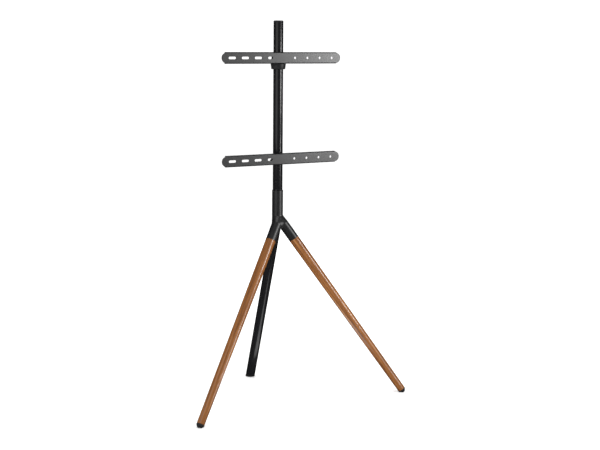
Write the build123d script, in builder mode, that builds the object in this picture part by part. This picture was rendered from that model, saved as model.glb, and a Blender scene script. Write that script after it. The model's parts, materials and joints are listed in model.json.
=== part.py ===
from build123d import *
import math
import os

# Tripod floor stand for a flat screen.
# Millimetres. Z is up, the floor is Z = 0, the pole stands on the Z axis, the screen side faces -Y.

os.makedirs("parts", exist_ok=True)

# ---- driving dimensions -------------------------------------------------------------------------

RUN = 0.05  # radial clearance between parts that turn or slide
FIT = 0.05  # radial clearance between parts that stay fixed to each other
LOOSE = 0.2  # radial clearance of a screw's plain hole

# Pole
POLE_TOP = 1349.0
POLE_R = 17.5
POLE_WALL = 1.5
CAP_HEAD = 6.0
CAP_ROUND = 2.0
CAP_PLUG = 22.0
CAP_PLUG_WALL = 2.5

# Hub
HUB_TOP = 751.3
HUB_R = 19.7
HUB_RIM = 1.5
HUB_SLEEVE_END = 650.0
ARM_ROOT_Z = 660.0
ARM_ROOT_R = 19.4
ARM_BLEND = 24.0
FRONT_ARM = 91.0
REAR_ARM = 85.0
REAR_SPIGOT = 40.0

# Swivel inside the hub
HUB_BORE_R = 17.7
HUB_FLOOR = 668.0
THRUST_WASHER = 1.5
BUSH_LENGTH = 26.0
BUSH_END_GAP = 0.5
SPIGOT_BORE_R = 12.0
SPIGOT_PLATE = 12.0
SPIGOT_TOP = 834.0
SPIGOT_COLLAR = 2.4
SPIGOT_LIFT = 0.1  # under the spigot and under the washer of the centre bolt
COLLAR_LIFT = 0.3  # between the hub's rim and the spigot's collar
SWIVEL_LIMIT = 20.0
STOP_Z = 706.0
STOP_R = 2.4
STOP_SINK = 0.3
STOP_TIP_GAP = 0.4
STOP_PLAY = 1.2
GROOVE_R = 13.9

# Screws of hub and pole: radius of shank and head, head height, hex socket across its flats
CENTRE_BOLT_R = 5.0
CENTRE_BOLT_HEAD_R = 8.0
CENTRE_BOLT_HEAD = 10.0
CENTRE_BOLT_SOCKET = 8.0
CENTRE_BOLT_GRIP = 24.0
CENTRE_WASHER_R = 10.8
CENTRE_WASHER = 2.0
LOCK_SCREW_Z = 783.0
LOCK_SCREW_TURN = 225.0
LOCK_SCREW_R = 2.5
LOCK_SCREW_HEAD_R = 4.5
LOCK_SCREW_HEAD = 1.8
LOCK_SCREW_SOCKET = 3.0
REAR_SCREW_R = 2.9
REAR_SCREW_HEAD_R = 5.0
REAR_SCREW_HEAD = 2.0
REAR_SCREW_SOCKET = 3.0
REAR_SCREW_TIP = 4.0  # how close to the leg's axis the screw ends
STOP_SOCKET = 2.5
SOCKET_DEPTH = 1.2
EDGE_BREAK = 0.8

# Legs: where each axis starts at the hub and where it meets the floor
FRONT_APEX = (0.0, -13.6, 651.0)
FRONT_FOOT = (413.0, -223.5)
REAR_APEX = (0.0, 0.0, 643.0)
REAR_FOOT = (0.0, 216.0)
LEG_TOP_R = 18.5
LEG_END_R = 13.8
REAR_LEG_R = 17.5
REAR_LEG_WALL = 1.5
LEG_STUD_R = 5.0
STUD_IN_HUB = 24.0
STUD_IN_WOOD = 28.0
STUD_END_GAP = 1.0
INSERT_R = 8.0
INSERT_LENGTH = 26.0
INSERT_HOLE = 32.0

# Feet
FOOT_LENGTH = 13.0
FOOT_RING = 5.0
FOOT_TIP_R = 8.8
FOOT_SCREW_R = 1.9
FOOT_SCREW_HEAD_R = 4.0
FOOT_SCREW_HEAD = 2.4
FOOT_SCREW_LENGTH = 29.0
FOOT_SCREW_HOLE_R = 2.1
FOOT_RECESS_R = 4.4
PILOT_R = 2.0
PILOT_DEPTH = 26.0
REAR_FOOT_PLUG = 24.0

# Screen bars
UPPER_BAR_Z = 1219.9
LOWER_BAR_Z = 865.3
BAR_LENGTH = 470.0
BAR_HEIGHT = 40.0
BAR_END_HEIGHT = 36.0
BAR_FRONT_Y = -33.0
BAR_SHEET = 2.5
BAR_DEPTH = 12.0
BAR_BEND_R = 4.0
FLANGE_INSET = 15.5
HOLE_R = 4.25
HOLE_PITCH = 50.0
HOLE_COUNT = 4
SLOT_LENGTH = 28.0
SLOT_CENTRES = (-195.0, -145.0, -95.0)
SHORT_SLOT_LENGTH = 19.0
SHORT_SLOT_CENTRE = -47.5

# Clamp behind each bar, its heights measured from the bar's centre
CLAMP_LOW = -16.0
CLAMP_HIGH = 12.0
CLAMP_R = 24.0
CLAMP_BORE_R = 18.7
CLAMP_FLANGE_TOP = -4.0
CLAMP_FLANGE_R = 27.8
SADDLE_WIDTH = 40.0
SADDLE_DEPTH = 20.0
KNOB_AXIS = -4.0
BOSS_START = 10.0
BOSS_END = 32.0
BOSS_R = 9.0
KNOB_STUD_R = 4.0
PAD_R = 3.9
PAD_GAP = 0.1
PAD_THICK = 2.5
KNOB_START = 32.6
KNOB_NECK = 3.0
KNOB_NECK_R = 8.5
KNOB_LENGTH = 15.0
KNOB_CROWN = 5.0
KNOB_R = 14.0
KNOB_LOBES = 8
FLUTE_R = 3.0
FLUTE_CENTRE_R = 15.6

# Tapered collar under the upper bar, its heights measured from that bar's centre
COLLAR_SHOULDER = -20.4
COLLAR_FOOT = -40.0
COLLAR_NECK_R = 20.4
COLLAR_SHOULDER_R = 27.0
COLLAR_FOOT_R = 24.6
COLLAR_ROUND = 2.5
COLLAR_SCREW_R = 1.8
COLLAR_BOLT_CIRCLE = 21.1
COLLAR_SCREW_HEAD_R = 3.1
COLLAR_SCREW_HEAD = 3.0
COLLAR_RECESS = 6.0
COLLAR_RECESS_R = 3.2
COLLAR_SCREW_GRIP = 10.0

# ---- worked out ---------------------------------------------------------------------------------

SPIGOT_R = POLE_R - POLE_WALL - FIT
SPIGOT_FOOT = HUB_FLOOR + THRUST_WASHER + SPIGOT_LIFT
SPIGOT_FLOOR = SPIGOT_FOOT + SPIGOT_PLATE
POLE_FOOT = HUB_TOP + COLLAR_LIFT + SPIGOT_COLLAR
BOLT_HEAD_Z = SPIGOT_FLOOR + SPIGOT_LIFT + CENTRE_WASHER
PAD_END = POLE_R + PAD_GAP + PAD_THICK


def leg_plane(apex, foot):
    """Plane at the top of a leg, its normal running down the leg's axis to the foot."""
    axis = Vector(*foot, 0) - Vector(*apex)
    across = Vector(-axis.Y, axis.X, 0)
    return Plane(origin=apex, x_dir=across, z_dir=axis)


def leg_length(apex, foot):
    """Length of a leg's axis from its apex to the floor."""
    return (Vector(*foot, 0) - Vector(*apex)).length


def socket_screw(seat, head_r, head, shank_r, shank, socket, round_head=False):
    """Screw whose head stands on the seat plane and whose shank runs the other way."""
    with BuildPart() as screw:
        with BuildSketch(seat):
            Circle(head_r)
        extrude(amount=head)
        rim = screw.edges().filter_by(GeomType.CIRCLE).sort_by(Axis(seat.origin, seat.z_dir))[-1]
        if round_head:
            fillet(rim, radius=head * 0.7)
        else:
            chamfer(rim, length=head * 0.1)
        with BuildSketch(seat):
            Circle(shank_r)
        extrude(amount=-shank)
        with BuildSketch(seat.offset(head)):
            RegularPolygon(socket / 2, 6, major_radius=False)
        extrude(amount=-head / 2, mode=Mode.SUBTRACT)
    return screw.part


def save(part, node):
    """Label a finished piece and write its STEP file."""
    part.label = node
    export_step(part, f"parts/{node}.step")


LEFT_FOOT = (-FRONT_FOOT[0], FRONT_FOOT[1])
FRONT_PLANES = {
    "left": leg_plane(FRONT_APEX, LEFT_FOOT),
    "right": leg_plane(FRONT_APEX, FRONT_FOOT),
}
FRONT_LENGTH = leg_length(FRONT_APEX, FRONT_FOOT)
WOOD_END = FRONT_LENGTH - FOOT_LENGTH
REAR_PLANE = leg_plane(REAR_APEX, REAR_FOOT)
REAR_TUBE_END = leg_length(REAR_APEX, REAR_FOOT) - FOOT_LENGTH

# middle of the rear tube's spigot, facing out of the leg's rear side
REAR_SCREW_PLANE = Plane(
    origin=REAR_PLANE.offset(REAR_ARM + REAR_SPIGOT / 2).origin,
    x_dir=(1, 0, 0),
    z_dir=REAR_PLANE.z_dir.cross(Vector(-1, 0, 0)),
)
# on the pole's axis, facing out through the lock screw
LOCK_PLANE = Plane(
    origin=(0, 0, LOCK_SCREW_Z),
    x_dir=(0, 0, 1),
    z_dir=Vector(1, 0, 0).rotate(Axis.Z, LOCK_SCREW_TURN),
)

# ---- hub ----------------------------------------------------------------------------------------

with BuildPart() as hub_casting:
    with BuildSketch(Plane.XY.offset(HUB_SLEEVE_END)):
        Circle(HUB_R)
    extrude(amount=HUB_TOP - HUB_SLEEVE_END)
    chamfer(hub_casting.edges().group_by(Axis.Z)[-1], length=HUB_RIM)
    arms = [
        (FRONT_PLANES["left"], FRONT_ARM, LEG_TOP_R),
        (FRONT_PLANES["right"], FRONT_ARM, LEG_TOP_R),
        (REAR_PLANE, REAR_ARM, REAR_LEG_R),
    ]
    for arm_plane, arm_reach, arm_r in arms:
        # each arm grows out of the sleeve's round section and turns into the leg's own axis
        with BuildSketch(Plane.XY.offset(ARM_ROOT_Z)):
            Circle(ARM_ROOT_R)
        with BuildSketch(arm_plane.offset(ARM_BLEND)):
            Circle(arm_r)
        loft()
        with BuildSketch(arm_plane.offset(ARM_BLEND)):
            Circle(arm_r)
        extrude(amount=arm_reach - ARM_BLEND)
    # spigot that the rear tube slides over
    with BuildSketch(REAR_PLANE.offset(REAR_ARM)):
        Circle(REAR_LEG_R - REAR_LEG_WALL - FIT)
    extrude(amount=REAR_SPIGOT)
    # bore for the swivel bushes, with the threaded hole of the centre bolt under it
    with BuildSketch(Plane.XY.offset(HUB_TOP)):
        Circle(HUB_BORE_R)
    extrude(amount=HUB_FLOOR - HUB_TOP, mode=Mode.SUBTRACT)
    with BuildSketch(Plane.XY.offset(HUB_FLOOR)):
        Circle(CENTRE_BOLT_R + FIT)
    extrude(amount=-CENTRE_BOLT_GRIP - STUD_END_GAP, mode=Mode.SUBTRACT)
    # threaded holes for the studs of the two wooden legs
    for side in ("left", "right"):
        with BuildSketch(FRONT_PLANES[side].offset(FRONT_ARM)):
            Circle(LEG_STUD_R + FIT)
        extrude(amount=-STUD_IN_HUB - STUD_END_GAP, mode=Mode.SUBTRACT)
    # threaded hole for the swivel's stop screw, from the rear
    with BuildSketch(Plane.XZ.offset(-HUB_R)):
        with Locations((0, STOP_Z)):
            Circle(STOP_R + FIT)
    extrude(amount=HUB_R - GROOVE_R, mode=Mode.SUBTRACT)
    # threaded hole for the screw that holds the rear tube
    with BuildSketch(REAR_SCREW_PLANE.offset(REAR_LEG_R)):
        Circle(REAR_SCREW_R + FIT)
    extrude(amount=REAR_SCREW_TIP - STUD_END_GAP - REAR_LEG_R, mode=Mode.SUBTRACT)
save(hub_casting.part, "hub_casting")

# ---- swivel inside the hub ----------------------------------------------------------------------

for bush_node, bush_foot in (
    ("lower_swivel_bush", HUB_FLOOR + THRUST_WASHER + BUSH_END_GAP),
    ("upper_swivel_bush", HUB_TOP - BUSH_LENGTH - BUSH_END_GAP),
):
    with BuildPart() as bush:
        with BuildSketch(Plane.XY.offset(bush_foot)):
            Circle(HUB_BORE_R - FIT)
            Circle(SPIGOT_R + RUN, mode=Mode.SUBTRACT)
        extrude(amount=BUSH_LENGTH)
    save(bush.part, bush_node)

with BuildPart() as swivel_thrust_washer:
    with BuildSketch(Plane.XY.offset(HUB_FLOOR)):
        Circle(HUB_BORE_R - LOOSE)
        Circle(CENTRE_BOLT_R + LOOSE, mode=Mode.SUBTRACT)
    extrude(amount=THRUST_WASHER)
save(swivel_thrust_washer.part, "swivel_thrust_washer")

with BuildPart() as centre_bolt_washer:
    with BuildSketch(Plane.XY.offset(BOLT_HEAD_Z - CENTRE_WASHER)):
        Circle(CENTRE_WASHER_R)
        Circle(CENTRE_BOLT_R + LOOSE, mode=Mode.SUBTRACT)
    extrude(amount=CENTRE_WASHER)
save(centre_bolt_washer.part, "centre_bolt_washer")

centre_bolt = socket_screw(
    Plane.XY.offset(BOLT_HEAD_Z),
    CENTRE_BOLT_HEAD_R,
    CENTRE_BOLT_HEAD,
    CENTRE_BOLT_R,
    BOLT_HEAD_Z - HUB_FLOOR + CENTRE_BOLT_GRIP,
    CENTRE_BOLT_SOCKET,
)
save(centre_bolt, "centre_bolt")

with BuildPart() as swivel_stop_screw:
    with BuildSketch(Plane.XZ.offset(STOP_SINK - HUB_R)):
        with Locations((0, STOP_Z)):
            Circle(STOP_R)
    extrude(amount=HUB_R - STOP_SINK - GROOVE_R - STOP_TIP_GAP)
    with BuildSketch(Plane.XZ.offset(STOP_SINK - HUB_R)):
        with Locations((0, STOP_Z)):
            RegularPolygon(STOP_SOCKET / 2, 6, major_radius=False)
    extrude(amount=SOCKET_DEPTH, mode=Mode.SUBTRACT)
save(swivel_stop_screw.part, "swivel_stop_screw")

# ---- front legs ---------------------------------------------------------------------------------

for side, plane in FRONT_PLANES.items():
    with BuildPart() as leg_wood:
        with BuildSketch(plane.offset(FRONT_ARM)):
            Circle(LEG_TOP_R)
        with BuildSketch(plane.offset(WOOD_END)):
            Circle(LEG_END_R)
        loft()
        # hole for the threaded insert, and a pilot hole for the foot's screw
        with BuildSketch(plane.offset(FRONT_ARM)):
            Circle(INSERT_R + FIT)
        extrude(amount=INSERT_HOLE, mode=Mode.SUBTRACT)
        with BuildSketch(plane.offset(WOOD_END)):
            Circle(PILOT_R)
        extrude(amount=-PILOT_DEPTH, mode=Mode.SUBTRACT)
    save(leg_wood.part, f"{side}_leg_wood")

    with BuildPart() as leg_insert:
        with BuildSketch(plane.offset(FRONT_ARM)):
            Circle(INSERT_R)
            Circle(LEG_STUD_R + FIT, mode=Mode.SUBTRACT)
        extrude(amount=INSERT_LENGTH)
    save(leg_insert.part, f"{side}_leg_insert")

    with BuildPart() as leg_stud:
        with BuildSketch(plane.offset(FRONT_ARM - STUD_IN_HUB)):
            Circle(LEG_STUD_R)
        extrude(amount=STUD_IN_HUB + STUD_IN_WOOD)
        chamfer(leg_stud.edges(), length=EDGE_BREAK)
    save(leg_stud.part, f"{side}_leg_stud")

    with BuildPart() as foot:
        with BuildSketch(plane.offset(WOOD_END)):
            Circle(LEG_END_R)
        extrude(amount=FOOT_RING)
        with BuildSketch(plane.offset(WOOD_END + FOOT_RING)):
            Circle(LEG_END_R)
        with BuildSketch(plane.offset(FRONT_LENGTH)):
            Circle(FOOT_TIP_R)
        loft()
        with BuildSketch(plane.offset(WOOD_END)):
            Circle(FOOT_SCREW_HOLE_R)
        extrude(amount=FOOT_RING, mode=Mode.SUBTRACT)
        with BuildSketch(plane.offset(WOOD_END + FOOT_RING)):
            Circle(FOOT_RECESS_R)
        extrude(amount=FOOT_LENGTH, mode=Mode.SUBTRACT)
        # worn flat where the tip stands on the floor
        split(bisect_by=Plane.XY, keep=Keep.TOP)
    save(foot.part, f"{side}_foot")

    with BuildPart() as foot_screw:
        with BuildSketch(plane.offset(WOOD_END + FOOT_RING)):
            Circle(FOOT_SCREW_HEAD_R)
        extrude(amount=FOOT_SCREW_HEAD)
        with BuildSketch(plane.offset(WOOD_END + FOOT_RING)):
            Circle(FOOT_SCREW_R)
        extrude(amount=-FOOT_SCREW_LENGTH)
    save(foot_screw.part, f"{side}_foot_screw")

# ---- rear leg -----------------------------------------------------------------------------------

with BuildPart() as rear_leg_tube:
    with BuildSketch(REAR_PLANE.offset(REAR_ARM)):
        Circle(REAR_LEG_R)
        Circle(REAR_LEG_R - REAR_LEG_WALL, mode=Mode.SUBTRACT)
    extrude(amount=REAR_TUBE_END - REAR_ARM)
    with BuildSketch(REAR_SCREW_PLANE):
        Circle(REAR_SCREW_R + LOOSE)
    extrude(amount=REAR_LEG_R, mode=Mode.SUBTRACT)
save(rear_leg_tube.part, "rear_leg_tube")

rear_leg_screw = socket_screw(
    REAR_SCREW_PLANE.offset(REAR_LEG_R),
    REAR_SCREW_HEAD_R,
    REAR_SCREW_HEAD,
    REAR_SCREW_R,
    REAR_LEG_R - REAR_SCREW_TIP,
    REAR_SCREW_SOCKET,
    round_head=True,
)
save(rear_leg_screw, "rear_leg_screw")

with BuildPart() as rear_foot:
    with BuildSketch(REAR_PLANE.offset(REAR_TUBE_END)):
        Circle(REAR_LEG_R)
    extrude(amount=2 * FOOT_LENGTH)
    split(bisect_by=Plane.XY, keep=Keep.TOP)
    with BuildSketch(REAR_PLANE.offset(REAR_TUBE_END)):
        Circle(REAR_LEG_R - REAR_LEG_WALL - FIT)
    extrude(amount=-REAR_FOOT_PLUG)
save(rear_foot.part, "rear_foot")

# ---- pole ---------------------------------------------------------------------------------------

with BuildPart() as pole_spigot:
    with BuildSketch(Plane.XY.offset(SPIGOT_FOOT)):
        Circle(SPIGOT_R)
    extrude(amount=SPIGOT_TOP - SPIGOT_FOOT)
    with BuildSketch(Plane.XY.offset(POLE_FOOT - SPIGOT_COLLAR)):
        Circle(POLE_R)
    extrude(amount=SPIGOT_COLLAR)
    with BuildSketch(Plane.XY.offset(SPIGOT_FLOOR)):
        Circle(SPIGOT_BORE_R)
    extrude(amount=SPIGOT_TOP - SPIGOT_FLOOR, mode=Mode.SUBTRACT)
    with BuildSketch(Plane.XY.offset(SPIGOT_FOOT)):
        Circle(CENTRE_BOLT_R + LOOSE)
    extrude(amount=SPIGOT_PLATE, mode=Mode.SUBTRACT)
    # groove that the stop screw runs in: the swivel's limit plus the screw's own width
    groove_half = SWIVEL_LIMIT + math.degrees(math.asin(STOP_R / GROOVE_R)) + STOP_PLAY
    with BuildSketch(Plane.XZ.rotated((0, 0, 90 - groove_half))):
        with Locations((GROOVE_R, STOP_Z)):
            Rectangle(POLE_R - GROOVE_R, 2 * STOP_R + STOP_PLAY, align=(Align.MIN, Align.CENTER))
    revolve(axis=Axis.Z, revolution_arc=2 * groove_half, mode=Mode.SUBTRACT)
    with BuildSketch(LOCK_PLANE):
        Circle(LOCK_SCREW_R + FIT)
    extrude(amount=POLE_R, mode=Mode.SUBTRACT)
save(pole_spigot.part, "pole_spigot")

with BuildPart() as pole_tube:
    with BuildSketch(Plane.XY.offset(POLE_FOOT)):
        Circle(POLE_R)
        Circle(POLE_R - POLE_WALL, mode=Mode.SUBTRACT)
    extrude(amount=POLE_TOP - CAP_HEAD - POLE_FOOT)
    with BuildSketch(LOCK_PLANE):
        Circle(LOCK_SCREW_R + LOOSE)
    extrude(amount=POLE_R, mode=Mode.SUBTRACT)
save(pole_tube.part, "pole_tube")

pole_lock_screw = socket_screw(
    LOCK_PLANE.offset(POLE_R),
    LOCK_SCREW_HEAD_R,
    LOCK_SCREW_HEAD,
    LOCK_SCREW_R,
    POLE_R - SPIGOT_BORE_R + STUD_END_GAP,
    LOCK_SCREW_SOCKET,
    round_head=True,
)
save(pole_lock_screw, "pole_lock_screw")

with BuildPart() as pole_top_cap:
    with BuildSketch(Plane.XY.offset(POLE_TOP - CAP_HEAD)):
        Circle(POLE_R)
    extrude(amount=CAP_HEAD)
    fillet(pole_top_cap.edges().group_by(Axis.Z)[-1], radius=CAP_ROUND)
    with BuildSketch(Plane.XY.offset(POLE_TOP - CAP_HEAD)):
        Circle(POLE_R - POLE_WALL - FIT)
        Circle(POLE_R - POLE_WALL - CAP_PLUG_WALL, mode=Mode.SUBTRACT)
    extrude(amount=-CAP_PLUG)
save(pole_top_cap.part, "pole_top_cap")

# ---- brackets: the same bar, clamp and knob at two heights ---------------------------------------

for level, bar_z in (("upper", UPPER_BAR_Z), ("lower", LOWER_BAR_Z)):
    clamp_plane = Plane.XY.offset(bar_z + CLAMP_LOW)
    flange_plane = Plane.XY.offset(bar_z + CLAMP_FLANGE_TOP)
    # on the pole's axis, facing out through the knob
    knob_plane = Plane(origin=(0, 0, bar_z + KNOB_AXIS), x_dir=(0, 1, 0), z_dir=(1, 0, 0))

    with BuildPart() as bar:
        # folded channel, open to the rear
        with BuildSketch(Plane.YZ.offset(FLANGE_INSET - BAR_LENGTH / 2)):
            with Locations((BAR_FRONT_Y, bar_z)):
                Rectangle(BAR_DEPTH, BAR_HEIGHT, align=(Align.MIN, Align.CENTER))
        extrude(amount=BAR_LENGTH - 2 * FLANGE_INSET)
        fillet(bar.edges().filter_by(Axis.X).group_by(Axis.Y)[0], radius=BAR_BEND_R)
        with BuildSketch(Plane.YZ.offset(FLANGE_INSET - BAR_LENGTH / 2)) as inside:
            with Locations((BAR_FRONT_Y + BAR_SHEET, bar_z)):
                Rectangle(BAR_DEPTH, BAR_HEIGHT - 2 * BAR_SHEET, align=(Align.MIN, Align.CENTER))
            fillet(inside.vertices().group_by(Axis.Y)[0], radius=BAR_BEND_R - BAR_SHEET)
        extrude(amount=BAR_LENGTH - 2 * FLANGE_INSET, mode=Mode.SUBTRACT)
        # flat rounded ends beyond the folds
        with BuildSketch(Plane.XZ.offset(-BAR_FRONT_Y)):
            with Locations((0, bar_z)):
                SlotOverall(BAR_LENGTH, BAR_END_HEIGHT)
                Rectangle(BAR_LENGTH - 2 * FLANGE_INSET, BAR_HEIGHT, mode=Mode.SUBTRACT)
        extrude(amount=-BAR_SHEET)
        # round holes on one half, slots on the other
        with BuildSketch(Plane.XZ.offset(-BAR_FRONT_Y)):
            with Locations([(HOLE_PITCH * (index + 1), bar_z) for index in range(HOLE_COUNT)]):
                Circle(HOLE_R)
            with Locations([(centre, bar_z) for centre in SLOT_CENTRES]):
                SlotOverall(SLOT_LENGTH, 2 * HOLE_R)
            with Locations((SHORT_SLOT_CENTRE, bar_z)):
                SlotOverall(SHORT_SLOT_LENGTH, 2 * HOLE_R)
        extrude(amount=-BAR_SHEET, mode=Mode.SUBTRACT)
    save(bar.part, f"{level}_bar")

    # sleeve round the pole, welded to the back of the bar, with a boss for the hand knob
    with BuildPart() as clamp:
        with BuildSketch(clamp_plane):
            Circle(CLAMP_R)
            with Locations((0, BAR_FRONT_Y + BAR_SHEET)):
                Rectangle(SADDLE_WIDTH, SADDLE_DEPTH, align=(Align.CENTER, Align.MIN))
        extrude(amount=CLAMP_HIGH - CLAMP_LOW)
        with BuildSketch(clamp_plane):
            Circle(CLAMP_FLANGE_R)
        extrude(amount=CLAMP_FLANGE_TOP - CLAMP_LOW)
        chamfer(clamp.edges().filter_by(GeomType.CIRCLE).group_by(SortBy.RADIUS)[-1], length=EDGE_BREAK)
        with BuildSketch(knob_plane.offset(BOSS_START)):
            Circle(BOSS_R)
        extrude(amount=BOSS_END - BOSS_START)
        with BuildSketch(clamp_plane):
            Circle(CLAMP_BORE_R)
        extrude(amount=CLAMP_HIGH - CLAMP_LOW, mode=Mode.SUBTRACT)
        with BuildSketch(knob_plane):
            Circle(KNOB_STUD_R + RUN)
        extrude(amount=BOSS_END, mode=Mode.SUBTRACT)
        if level == "upper":
            # threaded holes for the screws of the collar
            with BuildSketch(clamp_plane):
                with PolarLocations(COLLAR_BOLT_CIRCLE, 2, start_angle=45, angular_range=90, endpoint=True):
                    Circle(COLLAR_SCREW_R + FIT)
            extrude(amount=COLLAR_SCREW_GRIP + STUD_END_GAP, mode=Mode.SUBTRACT)
    save(clamp.part, f"{level}_clamp")

    with BuildPart() as liner:
        with BuildSketch(clamp_plane):
            Circle(CLAMP_BORE_R - FIT)
            Circle(POLE_R + RUN, mode=Mode.SUBTRACT)
        extrude(amount=CLAMP_HIGH - CLAMP_LOW)
        with BuildSketch(knob_plane):
            Circle(KNOB_STUD_R + LOOSE)
        extrude(amount=BOSS_END, mode=Mode.SUBTRACT)
    save(liner.part, f"{level}_clamp_liner")

    with BuildPart() as pressure_pad:
        with BuildSketch(knob_plane.offset(POLE_R + PAD_GAP)):
            Circle(PAD_R)
        extrude(amount=PAD_THICK)
    save(pressure_pad.part, f"{level}_pressure_pad")

    with BuildPart() as knob_stud:
        with BuildSketch(knob_plane.offset(PAD_END + 2 * PAD_GAP)):
            Circle(KNOB_STUD_R)
        extrude(amount=KNOB_START + KNOB_LENGTH - KNOB_CROWN - PAD_END - 2 * PAD_GAP)
        chamfer(knob_stud.edges().sort_by(Axis.X)[0], length=EDGE_BREAK)
    save(knob_stud.part, f"{level}_knob_stud")

    with BuildPart() as knob:
        with BuildSketch(knob_plane.offset(KNOB_START + KNOB_NECK)):
            Circle(KNOB_R)
            with PolarLocations(FLUTE_CENTRE_R, KNOB_LOBES):
                Circle(FLUTE_R, mode=Mode.SUBTRACT)
        extrude(amount=KNOB_LENGTH - KNOB_NECK)
        chamfer(knob.faces().sort_by(Axis.X)[-1].edges(), length=EDGE_BREAK)
        with BuildSketch(knob_plane.offset(KNOB_START)):
            Circle(KNOB_NECK_R)
        extrude(amount=2 * KNOB_NECK)
        with BuildSketch(knob_plane.offset(KNOB_START)):
            Circle(KNOB_STUD_R + FIT)
        extrude(amount=KNOB_LENGTH - KNOB_CROWN + PAD_GAP, mode=Mode.SUBTRACT)
    save(knob.part, f"{level}_knob")

# ---- tapered collar under the upper clamp -------------------------------------------------------

collar_foot = UPPER_BAR_Z + COLLAR_FOOT
collar_shoulder = UPPER_BAR_Z + COLLAR_SHOULDER
collar_top = UPPER_BAR_Z + CLAMP_LOW
recess_plane = Plane.XY.offset(collar_foot + COLLAR_RECESS)

with BuildPart() as collar:
    with BuildSketch(Plane.XZ):
        with BuildLine():
            Polyline(
                (POLE_R + RUN, collar_top),
                (COLLAR_NECK_R, collar_top),
                (COLLAR_NECK_R, collar_shoulder),
                (COLLAR_SHOULDER_R, collar_shoulder),
                (COLLAR_FOOT_R, collar_foot),
                (POLE_R + RUN, collar_foot),
                close=True,
            )
        make_face()
    revolve(axis=Axis.Z)
    fillet(collar.edges().group_by(Axis.Z)[0].sort_by(SortBy.RADIUS)[-1], radius=COLLAR_ROUND)
    with BuildSketch(recess_plane):
        with PolarLocations(COLLAR_BOLT_CIRCLE, 2, start_angle=45, angular_range=90, endpoint=True):
            Circle(COLLAR_RECESS_R)
    extrude(amount=-COLLAR_RECESS, mode=Mode.SUBTRACT)
    with BuildSketch(recess_plane):
        with PolarLocations(COLLAR_BOLT_CIRCLE, 2, start_angle=45, angular_range=90, endpoint=True):
            Circle(COLLAR_SCREW_R + FIT)
    extrude(amount=collar_top - collar_foot, mode=Mode.SUBTRACT)
save(collar.part, "upper_collar")

for side, screw_turn in (("left", 135), ("right", 45)):
    with BuildPart() as collar_screw:
        with BuildSketch(recess_plane):
            with PolarLocations(COLLAR_BOLT_CIRCLE, 1, start_angle=screw_turn):
                Circle(COLLAR_SCREW_HEAD_R)
        extrude(amount=-COLLAR_SCREW_HEAD)
        with BuildSketch(recess_plane):
            with PolarLocations(COLLAR_BOLT_CIRCLE, 1, start_angle=screw_turn):
                Circle(COLLAR_SCREW_R)
        extrude(amount=CLAMP_LOW - COLLAR_FOOT - COLLAR_RECESS + COLLAR_SCREW_GRIP)
    save(collar_screw.part, f"{side}_collar_screw")
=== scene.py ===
"""Tripod floor stand for a flat screen: the finished pieces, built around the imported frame."""

import json
import logging
import math
from collections.abc import Callable, Iterable, Sequence
from dataclasses import dataclass, field
from enum import Enum
from itertools import pairwise

import bmesh
import bpy
from mathutils import Matrix, Vector


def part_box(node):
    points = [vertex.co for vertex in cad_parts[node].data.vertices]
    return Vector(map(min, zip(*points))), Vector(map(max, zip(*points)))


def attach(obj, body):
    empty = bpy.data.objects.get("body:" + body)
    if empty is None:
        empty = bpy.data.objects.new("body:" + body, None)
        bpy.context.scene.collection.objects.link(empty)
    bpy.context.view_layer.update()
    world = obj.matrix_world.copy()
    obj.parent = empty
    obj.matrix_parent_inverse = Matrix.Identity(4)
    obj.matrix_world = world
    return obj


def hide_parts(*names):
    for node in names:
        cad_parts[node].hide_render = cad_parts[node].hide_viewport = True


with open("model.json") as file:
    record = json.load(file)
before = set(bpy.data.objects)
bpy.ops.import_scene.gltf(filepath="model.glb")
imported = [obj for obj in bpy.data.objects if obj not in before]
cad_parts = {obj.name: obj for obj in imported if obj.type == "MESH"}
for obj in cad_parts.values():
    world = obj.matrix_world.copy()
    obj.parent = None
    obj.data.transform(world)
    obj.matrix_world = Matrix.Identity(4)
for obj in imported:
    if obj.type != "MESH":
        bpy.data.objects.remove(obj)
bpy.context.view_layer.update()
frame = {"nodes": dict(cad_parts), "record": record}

log = logging.getLogger("stand")

Point = tuple[float, float, float]
Station = tuple[float, float]
Colour = tuple[float, float, float]


OVERSHOOT = 0.001  # how far a cutter stands out of the material
FIT_GAP = 0.00005  # the play of a plug in its tube
LEDGE = 0.00005  # the rise of a ring that makes a flat ledge in a turned profile
HAIR = 1e-6  # a distance that counts as none
NEAR = 1e-5  # a distance within which a point lies on a cut
SQUARE = 0.99  # the share of a normal on an axis from which a face counts as square to it
SIDES = 72  # the edges of an ordinary ring
FINE_SIDES = 96  # the edges of a large or visible ring
BORE_SIDES = 48  # the edges of a small hole
SMOOTH_FACTOR = 0.5


class Element(Enum):
    """What is picked in edit mode, by the name of its list in a mesh."""

    EDGES = "edges"
    FACES = "faces"


class Side(Enum):
    """The two front legs, with the sign of X on each side."""

    LEFT = -1
    RIGHT = 1

    @property
    def word(self) -> str:
        """The side's name as node names use it."""
        return self.name.lower()


class Level(Enum):
    """The two screen brackets on the pole."""

    UPPER = "upper"
    LOWER = "lower"


# ---- bench: what every piece is made with ----


def clear_bench() -> None:
    """Deselect every object, so that the next operator works on its own piece only."""
    if bpy.context.mode != "OBJECT":
        bpy.ops.object.mode_set(mode="OBJECT")
    bpy.ops.object.select_all(action="DESELECT")


def take_up(piece: bpy.types.Object) -> None:
    """Make one object the only selected and active one.

    Args:
        piece: the object to work on.
    """
    clear_bench()
    piece.select_set(True)
    bpy.context.view_layer.objects.active = piece


def fix_place(piece: bpy.types.Object) -> None:
    """Put an object's place, turn and size into its mesh."""
    take_up(piece)
    bpy.ops.object.transform_apply(location=True, rotation=True, scale=True)


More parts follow.
